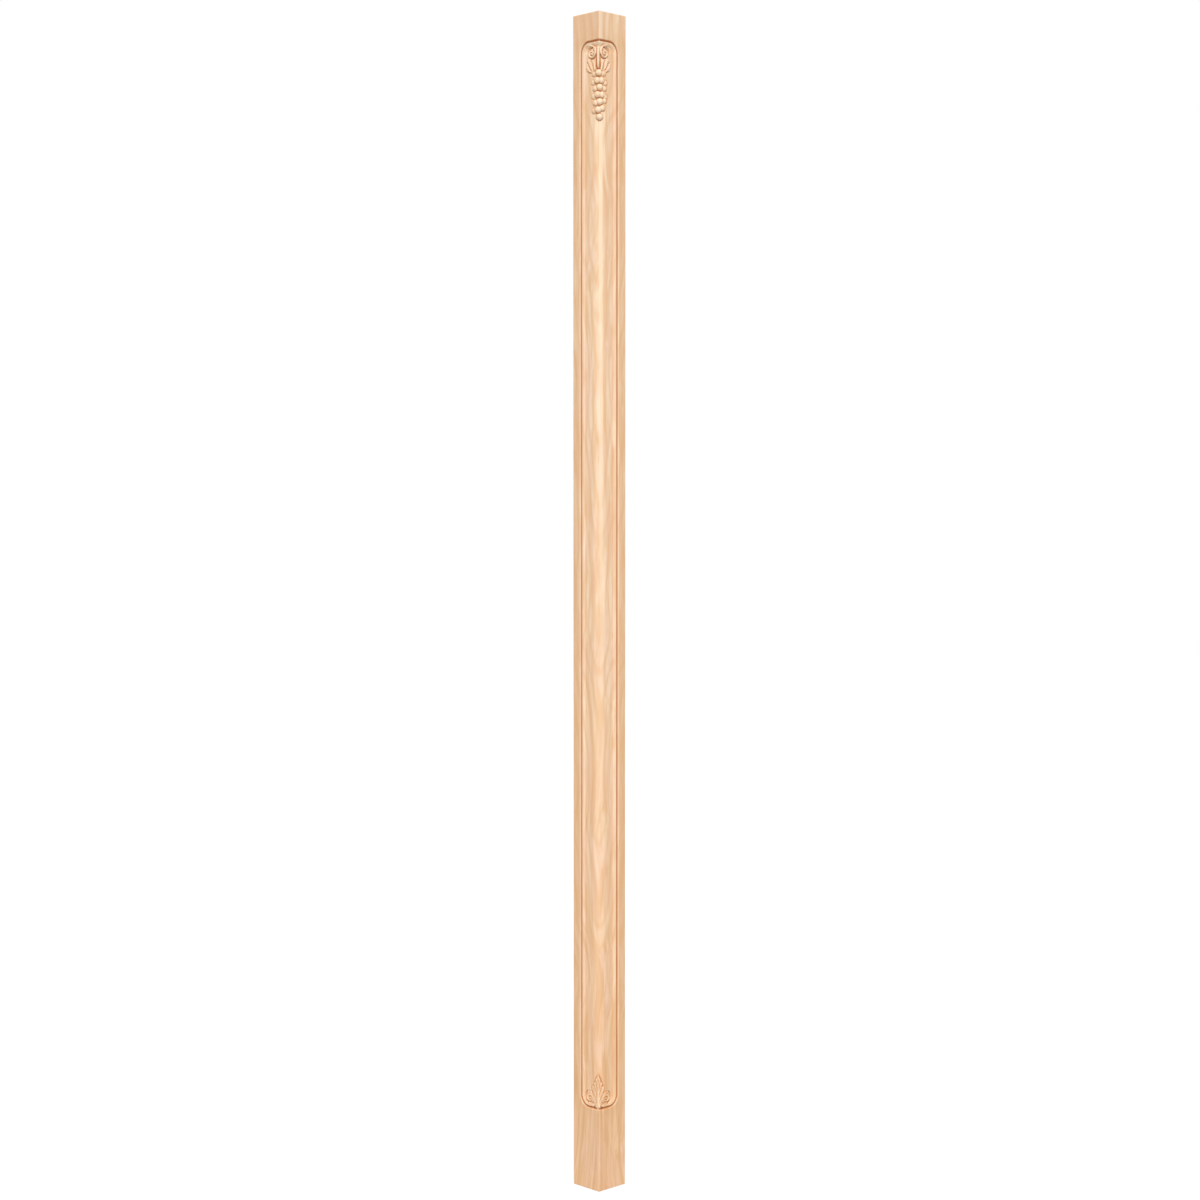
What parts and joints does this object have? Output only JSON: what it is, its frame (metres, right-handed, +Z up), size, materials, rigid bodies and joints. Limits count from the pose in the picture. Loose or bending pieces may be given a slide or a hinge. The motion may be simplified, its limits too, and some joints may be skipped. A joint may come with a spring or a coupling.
{
  "type": "newel post",
  "caption": "Tall square wooden newel post with plain end blocks and a carved corner: a sunk panel with a grape bunch above and an acanthus leaf below.",
  "frame": {"origin": "middle of the square foot, on the surface that the post stands on", "axes": "+Z up along the post; the four faces are square to X and Y, and the carved corner is the arris at +X and -Y"},
  "size_m": [0.077, 0.077, 2.4384],
  "materials": {
    "wood": "bare pale hardwood, sanded smooth, fine straight grain"
  },
  "bodies": {
    "root": {"post": "wood"}
  },
  "joints": []
}
